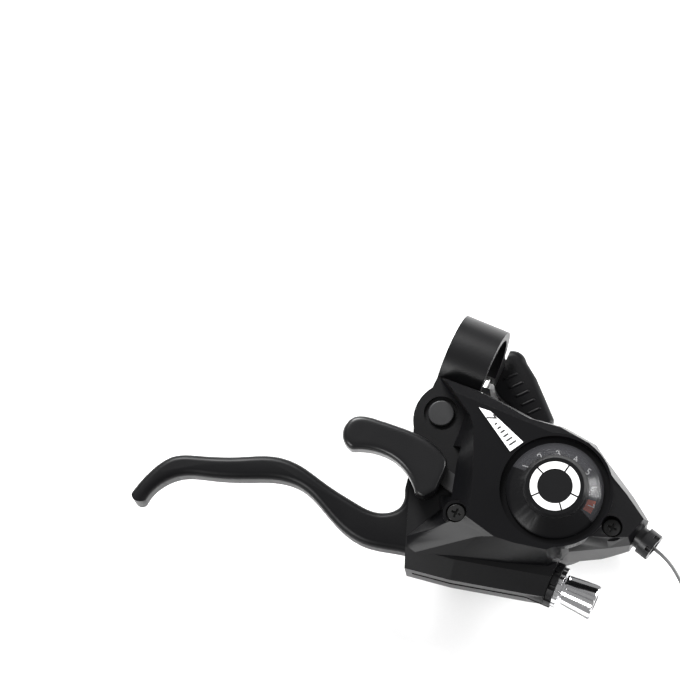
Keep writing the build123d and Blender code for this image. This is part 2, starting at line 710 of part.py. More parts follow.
with BuildPart() as indicator_flag:
    with BuildSketch(Plane.XY.offset(indicator_bottom + 0.95)):
        with BuildLine():
            inner_flag = hub_radius - 0.4
            outer_flag = bezel_radius - 2.2
            flag_half = 9.5
            Polyline(polar(dial_axis, inner_flag, -flag_half), polar(dial_axis, outer_flag, -flag_half))
            ThreePointArc(
                polar(dial_axis, outer_flag, -flag_half), polar(dial_axis, outer_flag, 0),
                polar(dial_axis, outer_flag, flag_half),
            )
            Polyline(polar(dial_axis, outer_flag, flag_half), polar(dial_axis, inner_flag, flag_half))
            Line(polar(dial_axis, inner_flag, flag_half), polar(dial_axis, inner_flag, -flag_half))
        make_face()
    extrude(amount=0.4)

# Holding pawl on its stud in the chamber wall
with BuildPart() as holding_pawl:
    pawl_tip = polar(dial_axis, index_radius + 0.9, 205)
    with BuildSketch(Plane.XY.offset(-3.0)):
        with Locations(pawl_stud):
            Circle(1.8)
        with BuildLine():
            Polyline(*finger(pawl_stud, 1.6, pawl_tip, 0.6), close=True)
        make_face()
        with Locations(pawl_stud):
            Circle(1.0 + fit, mode=Mode.SUBTRACT)
    extrude(amount=2.0)

pawl_pin = tube(pawl_stud, 1.0, 0, -6.0, 6.0)

# Lower case below the chamber, with the window of the thumb lever
thumb_angle = 129.0
thumb_travel = 36.0
with BuildPart() as lower_case:
    add(tube(dial_axis, case_radius, 0, case_bottom, -half_height).part)
    fillet(lower_case.faces().sort_by(Axis.Z)[0].edges(), 1.2)
    add(tube(dial_axis, case_radius - case_wall, 0, case_bottom + case_wall, 0).part, mode=Mode.SUBTRACT)
    add(tube(dial_axis, axle_radius + seat, 0, case_bottom - 1, 0).part, mode=Mode.SUBTRACT)
    gap_from = thumb_angle - 20
    gap_to = thumb_angle + thumb_travel + 22
    with BuildSketch(Plane.XY.offset(thumb_plate_bottom - 0.3)):
        with BuildLine():
            Polyline(
                dial_axis, polar(dial_axis, 40, gap_from),
                polar(dial_axis, 40, (gap_from + gap_to) / 2), polar(dial_axis, 40, gap_to), close=True,
            )
        make_face()
    extrude(amount=plate_thickness + 0.6, mode=Mode.SUBTRACT)

# Trigger: a steel plate on a stud, with a moulded finger hook
trigger_stud = tube(trigger_pin, trigger_pin_radius, 0, bracket_top - 4, trigger_top + 4.0)
stud_hole = trigger_pin_radius + seat
stud_collar = tube(trigger_pin, trigger_pin_radius + 1.2, stud_hole, bracket_top, trigger_bottom - 0.1)
stud_clip = tube(trigger_pin, trigger_pin_radius + 1.3, stud_hole, trigger_top + 2.9, trigger_top + 3.6)
trigger_spring = tube(trigger_pin, 3.7, trigger_pin_radius + 0.3, trigger_top + 0.2, trigger_top + 2.7)


def trigger_core(play):
    """The steel plate's outline as a solid, thicker all round by some play."""
    with BuildPart() as core:
        with BuildSketch(Plane.XY.offset(trigger_bottom - play)):
            with BuildLine():
                Polyline(
                    (trigger_pin_x, trigger_pin_y + 5.0 + play), (12.0, -38.6 + play), (-2.0, -35.4 + play),
                    (-2.0 - play, -38.8), (4.0, -42.0 - play), (13.0, -44.2 - play), (18.6, -45.4 - play),
                    (trigger_pin_x, trigger_pin_y - 5.0 - play), close=True,
                )
            make_face()
            with Locations(trigger_pin):
                Circle(5.0)
        extrude(amount=plate_thickness + 2 * play)
    return core.part


with BuildPart() as trigger_plate:
    add(trigger_core(0))
    add(tube(trigger_pin, trigger_pin_radius + fit, 0, bracket_top, trigger_top + 1).part, mode=Mode.SUBTRACT)

with BuildPart() as trigger_hook:
    with BuildSketch(Plane.XY.offset(bracket_top + finger_bottom)):
        with BuildLine():
            Spline(
                (-26.6, -38.6), (-25.0, -34.6), (-17.0, -32.4), (-6.4, -31.8), (1.6, -32.8), (7.6, -36.0),
            )
            Polyline((7.6, -36.0), (8.3, -39.0), (8.3, -46.4), (5.6, -49.8), (2.6, -49.7))
            Spline((2.6, -49.7), (-2.2, -44.9), (-8.0, -42.4), (-14.6, -42.3), (-21.4, -44.6))
            ThreePointArc((-21.4, -44.6), (-25.2, -42.8), (-26.6, -38.6))
        make_face()
    extrude(amount=finger_top - finger_bottom)
    fillet(trigger_hook.edges().filter_by(GeomType.BSPLINE), 1.6)
    add(trigger_core(fit), mode=Mode.SUBTRACT)

# Thumb lever: a steel plate that steps down below the clamp, with a moulded paddle
thumb_way = Plane(
    origin=(dial_x, dial_y, 0),
    x_dir=(math.cos(math.radians(thumb_angle)), math.sin(math.radians(thumb_angle)), 0),
    z_dir=(math.sin(math.radians(thumb_angle)), -math.cos(math.radians(thumb_angle)), 0),
)


def thumb_core(play):
    """The stepped steel plate as a solid, thicker all round by some play."""
    with BuildPart() as core:
        with BuildSketch(thumb_way.offset(-9)):
            with BuildLine():
                Polyline(
                    (-6, thumb_plate_bottom - play), (19.0, thumb_plate_bottom - play),
                    (24.0, outer_plate_bottom - play), (48.0 + play, outer_plate_bottom - play),
                    (48.0 + play, outer_plate_top + play), (24.6 + play, outer_plate_top + play),
                    (19.6 + play, thumb_plate_top + play), (-6, thumb_plate_top + play), close=True,
                )
            make_face()
        extrude(amount=18)
        with BuildSketch(Plane.XY.offset(paddle_bottom - 5)):
            with Locations(dial_axis):
                Circle(6.0)
            with Locations(Location((dial_x, dial_y, 0), (0, 0, thumb_angle))):
                with Locations((24, 0)):
                    Rectangle(48 + 2 * play, 6.8 + 2 * play)
        extrude(amount=60, mode=Mode.INTERSECT)
    return core.part


paddle_screw_place = polar(dial_axis, 42.0, thumb_angle)
with BuildPart() as thumb_plate:
    add(thumb_core(0))
    add(tube(dial_axis, axle_radius + fit, 0, case_bottom, 0).part, mode=Mode.SUBTRACT)

with BuildPart() as thumb_paddle:
    with BuildSketch(Plane.XY.offset(paddle_bottom)):
        with BuildLine():
            Polyline((29.4, -1.6), (18.4, 9.2), (13.2, 13.0))
            ThreePointArc((13.2, 13.0), (8.0, 15.2), (4.6, 12.0))
            Spline((4.6, 12.0), (5.0, 6.4), (6.6, 1.2), (9.4, -1.6), (13.4, -2.8))
            Polyline((13.4, -2.8), (20.0, -7.6), (27.8, -8.4), (29.4, -1.6))
        make_face()
    extrude(amount=paddle_height)
    rear_rims = thumb_paddle.edges().filter_by(Plane.XY).group_by(Axis.Z)[-1].sort_by(Axis.Y)[-3:]
    fillet(rear_rims, 2.4)
    add(thumb_core(fit), mode=Mode.SUBTRACT)
    with BuildSketch(Plane.XY.offset(paddle_bottom - 1)):
        with Locations(paddle_screw_place):
            Circle(1.5 + fit)
    extrude(amount=outer_plate_bottom - paddle_bottom + 1, mode=Mode.SUBTRACT)

with BuildPart() as paddle_screw:
    add(tube(paddle_screw_place, 1.5, 0, paddle_bottom + 0.4, outer_plate_bottom - fit).part)
    with BuildSketch(Plane.XY.offset(paddle_bottom + 0.4)):
        with Locations(paddle_screw_place):
            Rectangle(2.0, 0.6)
            Rectangle(0.6, 2.0)
    extrude(amount=0.8, mode=Mode.SUBTRACT)

# Drive pawl on the thumb plate
with BuildPart() as drive_pawl:
    drive_stud = polar(dial_axis, 13.0, thumb_angle + 6)
    drive_tip = polar(dial_axis, ratchet_radius + 0.9, thumb_angle - 18)
    with BuildSketch(Plane.XY.offset(drive_bottom)):
        with Locations(drive_stud):
            Circle(1.7)
        with BuildLine():
            Polyline(*finger(drive_stud, 1.7, drive_tip, 0.5), close=True)
        make_face()
        with Locations(drive_stud):
            Circle(0.8 + fit, mode=Mode.SUBTRACT)
    extrude(amount=1.8)

drive_pin = tube(drive_stud, 0.8, 0, thumb_plate_top, drive_top + 0.2)

# Shift wire: straight inside the unit, then free, and the unseen length in a tied coil
with BuildPart() as wire_run:
    with BuildSketch(wire_plane):
        Circle(wire_radius)
    extrude(amount=wire_exit)

exit_point = wire_plane.from_local_coords((0, 0, wire_exit))
coil_low = paddle_bottom
coil_high = coil_low + coil_bundle
wire_route = [
    (exit_point.X, exit_point.Y, exit_point.Z),
    (exit_point.X + 4.6 * wire_line[0], exit_point.Y + 4.6 * wire_line[1], exit_point.Z),
    (87.4, -39.2, 5.8),
    (93.6, -45.0, 2.6),
    (98.8, -51.8, -2.6),
    (102.8, -59.2, -9.0),
    (105.8, -66.8, -15.0),
    (109.8, -73.6, coil_high + wire_radius + 0.1),
]


def bend_radii(route):
    """The largest neat arc for each corner of a route, from the shorter run beside it."""
    radii = []
    for before, here, after in zip(route, route[1:], route[2:]):
        first = Vector(*here) - Vector(*before)
        second = Vector(*after) - Vector(*here)
        half_turn = math.radians(first.get_angle(second) / 2)
        radii.append(0.45 * min(first.length, second.length) / math.tan(half_turn))
    return radii


route_radii = bend_radii(wire_route)
with BuildPart() as shift_wire:
    with BuildLine() as wire_path:
        FilletPolyline(*wire_route, radius=route_radii)
    with BuildSketch(Plane(origin=wire_path.line @ 0, z_dir=wire_path.line % 0)):
        Circle(wire_radius)
    sweep()

with BuildPart() as wire_coil:
    with BuildSketch(Plane(origin=(coil_x, coil_y, 0), x_dir=(1, 0, 0), z_dir=(0, -1, 0))):
        with Locations((coil_radius, (coil_low + coil_high) / 2)):
            RectangleRounded(coil_bundle, coil_bundle, 1.4)
    revolve(axis=Axis((coil_x, coil_y, 0), (0, 0, 1)))

# Crimped cap on the wire's end, beside the lowest turn
cap_radius = 0.9
cap_start = polar((coil_x, coil_y), coil_radius + coil_bundle / 2 + cap_radius + 0.3, 300)
cap_heading = (math.cos(math.radians(30)), math.sin(math.radians(30)), 0)
with BuildPart() as wire_end_cap:
    with BuildSketch(Plane(origin=(*cap_start, coil_low + cap_radius), z_dir=cap_heading)):
        Circle(cap_radius)
    extrude(amount=8)

with BuildPart() as coil_ties:
    for tie_angle in (20, 200):
        tie_place = Plane(
            origin=(coil_x, coil_y, 0),
            x_dir=(math.cos(math.radians(tie_angle)), math.sin(math.radians(tie_angle)), 0),
            z_dir=(math.sin(math.radians(tie_angle)), -math.cos(math.radians(tie_angle)), 0),
        )
        with BuildSketch(tie_place.offset(-1.5)):
            with Locations((coil_radius, (coil_low + coil_high) / 2)):
                RectangleRounded(coil_bundle + 1.4, coil_bundle + 1.4, 1.8)
                RectangleRounded(coil_bundle + 0.4, coil_bundle + 0.4, 1.5, mode=Mode.SUBTRACT)
        extrude(amount=3)

pieces = {
    "bracket": bracket,
    "clamp_bolt": clamp_bolt,
    "clamp_nut": clamp_nut,
    "brake_lever": brake_lever,
    "cable_hook": cable_hook,
    "pivot_bush": pivot_bush,
    "lever_return_spring": lever_spring,
    "pivot_pin": pivot_pin,
    "pivot_clip": pivot_clip,
    "castle_ring": castle_ring,
    "lock_nut": lock_nut,
    "barrel_adjuster": barrel_adjuster,
    "top_cover": top_cover,
    "cover_screws": cover_screws,
    "label_plate": label_plate,
    "dial_bezel": dial_bezel,
    "dial_window": dial_window,
    "chrome_ring": chrome_ring,
    "centre_cap": centre_cap,
    "shift_outlet": shift_outlet,
    "main_axle": main_axle,
    "axle_clip": axle_clip,
    "axle_nut": axle_nut,
    "cable_drum": cable_drum,
    "wire_head": wire_head,
    "drive_wheel": drive_wheel,
    "index_wheel": index_wheel,
    "thumb_spring": thumb_spring,
    "drum_spring": drum_spring,
    "indicator_disc": indicator_disc,
    "indicator_flag": indicator_flag,
    "holding_pawl": holding_pawl,
    "pawl_pin": pawl_pin,
    "drive_pawl": drive_pawl,
    "drive_pin": drive_pin,
    "lower_case": lower_case,
    "trigger_stud": trigger_stud,
    "stud_collar": stud_collar,
    "stud_clip": stud_clip,
    "trigger_spring": trigger_spring,
    "trigger_plate": trigger_plate,
    "trigger_hook": trigger_hook,
    "thumb_plate": thumb_plate,
    "thumb_paddle": thumb_paddle,
    "paddle_screw": paddle_screw,
    "wire_run": wire_run,
    "shift_wire": shift_wire,
    "wire_coil": wire_coil,
    "coil_ties": coil_ties,
    "wire_end_cap": wire_end_cap,
}
for name, piece in pieces.items():
    piece.part.label = name
    export_step(piece.part, f"parts/{name}.step")
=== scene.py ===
import json
import math

import bmesh
import bpy
import numpy as np
from mathutils import Matrix, Vector


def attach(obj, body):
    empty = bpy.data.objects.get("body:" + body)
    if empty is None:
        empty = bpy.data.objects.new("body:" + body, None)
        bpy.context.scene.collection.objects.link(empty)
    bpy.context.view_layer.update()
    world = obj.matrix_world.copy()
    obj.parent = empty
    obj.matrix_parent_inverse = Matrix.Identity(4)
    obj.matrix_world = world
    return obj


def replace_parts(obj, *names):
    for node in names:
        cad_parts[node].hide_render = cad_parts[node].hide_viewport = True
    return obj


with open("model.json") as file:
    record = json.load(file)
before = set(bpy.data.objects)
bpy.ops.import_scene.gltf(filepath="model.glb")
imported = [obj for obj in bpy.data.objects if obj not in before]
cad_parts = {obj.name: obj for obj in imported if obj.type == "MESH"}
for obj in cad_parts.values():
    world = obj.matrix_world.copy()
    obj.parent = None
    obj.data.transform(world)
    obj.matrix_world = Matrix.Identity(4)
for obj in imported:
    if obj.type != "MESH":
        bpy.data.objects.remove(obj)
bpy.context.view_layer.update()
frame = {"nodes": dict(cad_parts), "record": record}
mm = 0.001
dialAxis = (42.6, -32.0)
wireExit = (77.18, -34.47, 7.2)


def polar(centre, radius, angle):  # a point at a radius and an angle in degrees about a centre
    turn = math.radians(angle)
    return (centre[0] + radius * math.cos(turn), centre[1] + radius * math.sin(turn))


# Camera: it looks down the dial, a little from the front
camera = {"lens": 150.0, "distance": 914.0, "target": (-41.7, -10.8, 5.3),
          "right": (0.908, 0.4115, -0.0744), "up": (-0.3765, 0.8818, 0.2828), "near": 0.01, "far": 10}


def makeCamera(c):
    right = Vector(c["right"]).normalized()
    back = right.cross(Vector(c["up"])).normalized()
    up = back.cross(right)
    data = bpy.data.cameras.new("camera")
    data.lens = c["lens"]
    data.clip_start = c["near"]
    data.clip_end = c["far"]
    cam = bpy.data.objects.new("camera", data)
    bpy.context.scene.collection.objects.link(cam)
    aim = Matrix((right, up, back)).transposed().to_4x4()
    place = (Vector(c["target"]) + back * c["distance"]) * mm
    cam.matrix_world = Matrix.Translation(place) @ aim
    bpy.context.scene.camera = cam


makeCamera(camera)


# Materials: one recipe with a moulded or brushed grain and a slow change of gloss.
# specular is the shader's own specular level, low on the deep blacks
recipe = {"fineDetail": 4, "slowScale": 60, "slowDetail": 3, "toneShare": 0.6, "reliefDepth": 0.08}


def material(name, colour, rough, metal=0.0, grain=900.0, bump=0.12, vary=0.15, stretch=(1, 1, 1),
             alpha=1.0, specular=0.5):
    mat = bpy.data.materials.new(name)
    mat.use_nodes = True
    nodes, links = mat.node_tree.nodes, mat.node_tree.links
    shader = nodes["Principled BSDF"]
    shader.inputs["Metallic"].default_value = metal
    shader.inputs["Specular IOR Level"].default_value = specular
    shader.inputs["Alpha"].default_value = alpha
    place = nodes.new("ShaderNodeTexCoord")
    turn = nodes.new("ShaderNodeMapping")
    turn.inputs["Scale"].default_value = stretch
    links.new(place.outputs["Object"], turn.inputs["Vector"])
    fine = nodes.new("ShaderNodeTexNoise")
    fine.inputs["Scale"].default_value = grain
    fine.inputs["Detail"].default_value = recipe["fineDetail"]
    slow = nodes.new("ShaderNodeTexNoise")
    slow.inputs["Scale"].default_value = recipe["slowScale"]  # patches of a centimetre or two
    slow.inputs["Detail"].default_value = recipe["slowDetail"]
    links.new(turn.outputs["Vector"], fine.inputs["Vector"])
    links.new(turn.outputs["Vector"], slow.inputs["Vector"])
    gloss = nodes.new("ShaderNodeMapRange")
    gloss.inputs["To Min"].default_value = max(0.02, rough * (1 - vary))
    gloss.inputs["To Max"].default_value = min(1, rough * (1 + vary))
    links.new(slow.outputs["Fac"], gloss.inputs["Value"])
    links.new(gloss.outputs["Result"], shader.inputs["Roughness"])
    tone = nodes.new("ShaderNodeMix")
    tone.data_type = "RGBA"
    toneVary = vary * recipe["toneShare"]
    tone.inputs["A"].default_value = tuple(c * (1 - toneVary) for c in colour) + (1,)
    tone.inputs["B"].default_value = tuple(min(1, c * (1 + toneVary)) for c in colour) + (1,)
    links.new(fine.outputs["Fac"], tone.inputs["Factor"])
    links.new(tone.outputs["Result"], shader.inputs["Base Color"])
    relief = nodes.new("ShaderNodeBump")
    relief.inputs["Strength"].default_value = bump
    relief.inputs["Distance"].default_value = recipe["reliefDepth"] * mm
    links.new(fine.outputs["Fac"], relief.inputs["Height"])
    links.new(relief.outputs["Normal"], shader.inputs["Normal"])
    return mat


finishes = {
    "black_paint": material("bracketCoat", (0.004, 0.004, 0.0044), 0.36, grain=1400, bump=0.25, specular=0.2),
    "lever_paint": material("leverCoat", (0.003, 0.003, 0.0034), 0.38, grain=1600, bump=0.22, specular=0.12),
    "cover_black": material("coverPlastic", (0.003, 0.003, 0.0034), 0.30, grain=1800,
                            bump=0.2, specular=0.13),
    "hook_black": material("hookPlastic", (0.004, 0.004, 0.0044), 0.3, grain=1700, bump=0.16, specular=0.26),
    "paddle_black": material("paddlePlastic", (0.003, 0.003, 0.0034), 0.38, grain=1300,
                             bump=0.4, specular=0.12),
    "ring_black": material("collarPlastic", (0.006, 0.006, 0.0065), 0.34, specular=0.3),
    "dial_black": material("dialPlastic", (0.004, 0.004, 0.0044), 0.24, grain=2500, bump=0.05, specular=0.2),
    "cap_grey": material("capPlastic", (0.004, 0.004, 0.0044), 0.45, grain=2200, bump=0.3, specular=0.1),
    "label_white": material("labelFoil", (0.82, 0.82, 0.82), 0.35, grain=3000, bump=0.05, vary=0.05),
    "window_clear": material("windowPlastic", (0.06, 0.06, 0.065), 0.14, bump=0.02,
                             alpha=0.3, vary=0.1, specular=0.3),
    "flag_orange": material("flagPaint", (0.85, 0.16, 0.06), 0.5, vary=0.08),
    "chrome_bright": material("brightChrome", (0.82, 0.82, 0.83), 0.10, 1.0, 1200, 0.04),
    # blackened steel on the pins; on the trigger plate this dark colour is also painted shade for the gap
    # between hook and cover
    "pin_black": material("blackedPinAndPlateShade", (0.024, 0.024, 0.025), 0.38, 0.4),
    "screw_black": material("blackedScrew", (0.02, 0.02, 0.02), 0.3, 0.6),
    "zinc_steel": material("zincPlate", (0.66, 0.66, 0.65), 0.26, 1.0, 800, 0.15, 0.3, (1, 1, 6)),
    "spring_steel": material("springWire", (0.5, 0.5, 0.5), 0.28, 1.0, 1500, 0.1),
    "wire_steel": material("strandedWire", (0.12, 0.12, 0.12), 0.5, 0.6, 2600, 0.4),
    "nylon": material("naturalNylon", (0.72, 0.7, 0.64), 0.5),
    "tie_black": material("softTie", (0.03, 0.03, 0.03), 0.6, bump=0.3),
    "cap_alloy": material("crimpedCap", (0.75, 0.75, 0.76), 0.3, 1.0, 900, 0.2),
}
# the chrome ring on the hub: a near-white, mostly diffuse colour that is a painted reflection of the lamps in
# its chrome
ringPaintedReflection = material("ringPaintedReflection", (0.9, 0.9, 0.9), 0.22, 0.25, 1200, 0.04, vary=0.04)
inkWhite = material("inkWhite", (0.85, 0.85, 0.85), 0.5, vary=0.03)
inkBlack = material("inkBlack", (0.02, 0.02, 0.02), 0.5, vary=0.03)
slotOf = {s["node"]: s["material_slot"] for s in frame["record"]["subparts"]}
bodyOf = {n: b for b, members in frame["record"]["behaviour"]["bodies"].items() for n in members}
for node, obj in frame["nodes"].items():
    obj.data.materials.clear()
    obj.data.materials.append(ringPaintedReflection if node == "chrome_ring" else finishes[slotOf[node]])
print("camera and finishes done")


# Shift wire: out of the dial housing, down to the floor, and wound in a tied coil
wire = {"diameter": 1.2, "length": 2.1, "centre": (121.0, -65.0), "low": -24.9, "pitch": 1.27,
        "innerRadius": 9.96, "rows": 5, "columns": 5, "pointsPerTurn": 16,
        "startAngle": 217.5, "startRadius": 14.1, "startZ": -18.45,  # where it comes down on the coil
        "crossTurn": 80.0, "dropAngle": 297.0, "firstPlace": 340.0,  # crosses over it and drops inside
        "leaveAngle": 240.0, "leaveTurn": 60.0, "endRadius": 16.9, "endZ": -24.65}  # and the way to its cap
route = [wireExit, (81.61, -35.69, 7.2), (87.4, -39.2, 5.8), (93.6, -45.0, 2.6),
         (98.8, -51.8, -2.6), (102.8, -59.2, -9.0), (105.8, -66.8, -15.0)]


def coilPoints(w):
    # a point at (angle, radius, z) for each angle: every turn keeps its own place in the bundle
    # and steps to the next place in its last sixth
    last = w["columns"] * w["rows"] - 1
    leaveFrom = w["leaveAngle"] + 360 * (last + 1)
    end = leaveFrom + w["leaveTurn"]
    n = int(w["pointsPerTurn"] * (end - w["startAngle"]) / 360)
    angle = np.linspace(w["startAngle"], end, n)
    turn = (angle - w["firstPlace"]) / 360
    index = np.clip(np.floor(turn), 0, last)
    step = np.clip((turn - index - 5 / 6) * 6, 0, 1)
    step = step * step * (3 - 2 * step)

    def place(k):
        k = np.clip(k, 0, last)
        row, col = k // w["columns"], k % w["columns"]
        col = np.where(row % 2 == 0, col, w["columns"] - 1 - col)
        radius = w["innerRadius"] + w["pitch"] * col
        return radius, w["low"] + w["pitch"] * (w["rows"] - 1 - row)

    r0, z0 = place(index)
    r1, z1 = place(index + 1)
    radius, z = r0 + (r1 - r0) * step, z0 + (z1 - z0) * step
    come = np.clip((angle - w["startAngle"]) / w["crossTurn"], 0, 1)
    drop = np.clip((angle - w["dropAngle"]) / (w["firstPlace"] - w["dropAngle"]), 0, 1)
    first = angle < w["firstPlace"]
    radius = np.where(first, w["startRadius"] + (w["innerRadius"] - w["startRadius"]) * come, radius)
    z = np.where(first, w["startZ"] + (z - w["startZ"]) * drop, z)
    leave = np.clip((angle - leaveFrom) / w["leaveTurn"], 0, 1)
    radius = radius + (w["endRadius"] - radius) * leave
    z = z + (w["endZ"] - z) * leave
    a = np.radians(angle)
    return np.stack([w["centre"][0] + radius * np.cos(a), w["centre"][1] + radius * np.sin(a), z], axis=1)


def smoothCurve(name, points, radius, mat):
    data = bpy.data.curves.new(name, "CURVE")
    data.dimensions = "3D"
    data.bevel_depth = radius * mm
    data.bevel_resolution = 2
    data.resolution_u = 3
    data.use_fill_caps = True
    line = data.splines.new("NURBS")
    line.points.add(len(points) - 1)
    flat = np.concatenate([np.array(points) * mm, np.ones((len(points), 1))], axis=1)
    line.points.foreach_set("co", flat.ravel())
    line.order_u = 3
    line.use_endpoint_u = True
    data.materials.append(mat)
    obj = bpy.data.objects.new(name, data)
    bpy.context.scene.collection.objects.link(obj)
    return obj


shiftWire = smoothCurve("shiftWire", np.concatenate([np.array(route), coilPoints(wire)]),
                        wire["diameter"] / 2, finishes["wire_steel"])
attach(shiftWire, "unit")
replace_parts(shiftWire, "shift_wire", "wire_coil")
print("shift wire done")


# Moulded shells: the same shape with softened edges that catch the light
shell = {"merge": 1e-6, "flatAngle": 1.0, "sharpAngle": 28.0, "segments": 3}
softEdges = {"bracket": 0.45, "top_cover": 0.3, "lower_case": 0.3, "brake_lever": 0.6,
             "dial_bezel": 0.2, "shift_outlet": 0.2, "castle_ring": 0.25,
             "clamp_bolt": 0.25, "clamp_nut": 0.25, "pivot_pin": 0.12, "thumb_plate": 0.2,
             "label_plate": 0.08, "lock_nut": 0.12, "cover_screws": 0.12, "axle_nut": 0.2}


def shellCopy(node):
    # the node's own mesh with its triangles merged and its flat faces made whole again
    mesh = frame["nodes"][node].data.copy()
    work = bmesh.new()
    work.from_mesh(mesh)
    bmesh.ops.remove_doubles(work, verts=work.verts, dist=shell["merge"])
    bmesh.ops.dissolve_limit(work, angle_limit=math.radians(shell["flatAngle"]),
                             verts=work.verts, edges=work.edges)
    work.to_mesh(mesh)
    work.free()
    mesh.shade_smooth()
    mesh.set_sharp_from_angle(angle=math.radians(shell["sharpAngle"]))
    obj = bpy.data.objects.new("soft_" + node, mesh)
    bpy.context.scene.collection.objects.link(obj)
    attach(obj, bodyOf[node])
    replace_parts(obj, node)
    return obj


for node, width in softEdges.items():
    edge = shellCopy(node).modifiers.new("softEdge", "BEVEL")
    edge.width = width * mm
    edge.segments = shell["segments"]
    edge.limit_method = "ANGLE"
    edge.angle_limit = math.radians(shell["sharpAngle"])
    edge.use_clamp_overlap = True
    edge.harden_normals = True


# Finger pieces: the same shape drawn as a fine skin and relaxed, so that its rims turn fully round
rounded = {"trigger_hook": {"skin": 0.42, "passes": 14}, "thumb_paddle": {"skin": 0.42, "passes": 7}}
for node, r in rounded.items():
    obj = shellCopy(node)
    skin = obj.modifiers.new("fineSkin", "REMESH")
    skin.mode = "VOXEL"
    skin.voxel_size = r["skin"] * mm
    skin.use_smooth_shade = True
    relax = obj.modifiers.new("relax", "SMOOTH")
    relax.factor = 0.5
    relax.iterations = r["passes"]
print("softened shells done")


gridSkin = {"merge": 1e-7, "sharpAngle": 35.0}


def surface(name, grid, body, slotName, closed=False):
    # a grid of points, around (first index) and along (second index), becomes a skin of quads;
    # it always meets itself around, and along too when it is closed
    around, along = grid.shape[0], grid.shape[1]
    i, j = np.meshgrid(np.arange(around), np.arange(along if closed else along - 1), indexing="ij")
    a, b = (i + 1) % around, (j + 1) % along
    faces = np.stack([i * along + j, a * along + j, a * along + b, i * along + b], axis=-1)
    mesh = bpy.data.meshes.new(name)
    mesh.from_pydata((grid.reshape(-1, 3) * mm).tolist(), [], faces.reshape(-1, 4).tolist())
    work = bmesh.new()
    work.from_mesh(mesh)
    bmesh.ops.remove_doubles(work, verts=work.verts, dist=gridSkin["merge"])
    bmesh.ops.recalc_face_normals(work, faces=work.faces)
    work.to_mesh(mesh)
    work.free()
    mesh.shade_smooth()
    mesh.set_sharp_from_angle(angle=math.radians(gridSkin["sharpAngle"]))
    mesh.materials.append(finishes[slotName])
    obj = bpy.data.objects.new(name, mesh)
    bpy.context.scene.collection.objects.link(obj)
    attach(obj, body)
    return obj


# Adjuster knob: a turned profile whose radius dips at eight flutes
knob = {"axisY": -56.2, "start": 55.6, "length": 11.0, "root": 4.6, "rim": 5.78,
        "stations": (0, 0, 0.25, 0.9, 1.4, 2.2, 9.9, 10.6, 11, 11, 10.9, 3.2, 3.0, 3.0),
        "flutes": 8, "depth": 0.8, "steepness": 1.6, "fluteStart": 1.2, "sides": 192,
        "bore": 2.6, "cableHole": 0.9, "collar": 4.0, "nutRim": 0.2, "mouthRim": 0.3, "floorRim": 0.05,
        "stemStart": 42.5, "stemEnd": 55.7, "stemSides": 64}


def adjusterSkin(name, x, radius, k, closed=False):
    # rings of points about the adjuster's axis, at x along it and with a radius at (turn, along)
    turn = np.linspace(0, 2 * np.pi, radius.shape[0], endpoint=False)[:, None]
    x = np.broadcast_to(x[None, :], radius.shape)
    grid = np.stack([x, k["axisY"] + radius * np.cos(turn), radius * np.sin(turn)], axis=-1)
    return surface(name, grid, "adjuster", "chrome_bright", closed)


def makeKnob(k):
    # radius at (turn, along) is the profile minus a clipped cosine dip on the outside, past the root
    along = np.array(k["stations"])  # 0 and 1 stand at the nut, 8 at the mouth, 9 to 13 in the bore
    edge = k["root"] + (k["rim"] - k["root"]) * along / k["length"]
    edge[0] = k["collar"]
    edge[1] -= k["nutRim"]
    edge[8] -= k["mouthRim"]
    edge[9:12] = k["bore"]
    edge[12] = k["bore"] - k["floorRim"]
    edge[13] = k["cableHole"]
    turn = np.linspace(0, 2 * np.pi, k["sides"], endpoint=False)[:, None]
    wave = np.clip(np.cos(k["flutes"] * turn) * k["steepness"], 0, 1) * k["depth"]
    outside = ((along > k["fluteStart"]) & (along <= k["length"]) & (edge > k["collar"]))[None, :]
    knobSkin = adjusterSkin("adjusterKnob", k["start"] + along, edge[None, :] - wave * outside, k)
    ends = np.array([k["stemStart"], k["stemStart"], k["stemEnd"], k["stemEnd"]])
    reach = np.array([k["cableHole"], k["collar"], k["collar"], k["cableHole"]])
    adjusterSkin("adjusterStem", ends, np.broadcast_to(reach, (k["stemSides"], 4)), k, closed=True)
    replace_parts(knobSkin, "barrel_adjuster")


makeKnob(knob)


# Springs: a round wire along a helix, with flat turns at both ends
springWire = {"pointsPerTurn": 40, "sides": 10, "flatTurn": 0.7}
springs = {
    "lever_return_spring": {"centre": (-1.3, -21.1), "radius": 5.25, "low": 1.5, "high": 4.4,
                            "turns": 3, "thick": 0.65},
    "trigger_spring": {"centre": (23.6, -43.0), "radius": 3.0, "low": 12.7, "high": 15.2,
                       "turns": 2.5, "thick": 0.45},
    "thumb_spring": {"centre": dialAxis, "radius": 6.4, "low": -11.0, "high": -7.6, "turns": 3, "thick": 0.5},
    "drum_spring": {"centre": dialAxis, "radius": 6.9, "low": -0.5, "high": 4.5, "turns": 4, "thick": 0.5},
}


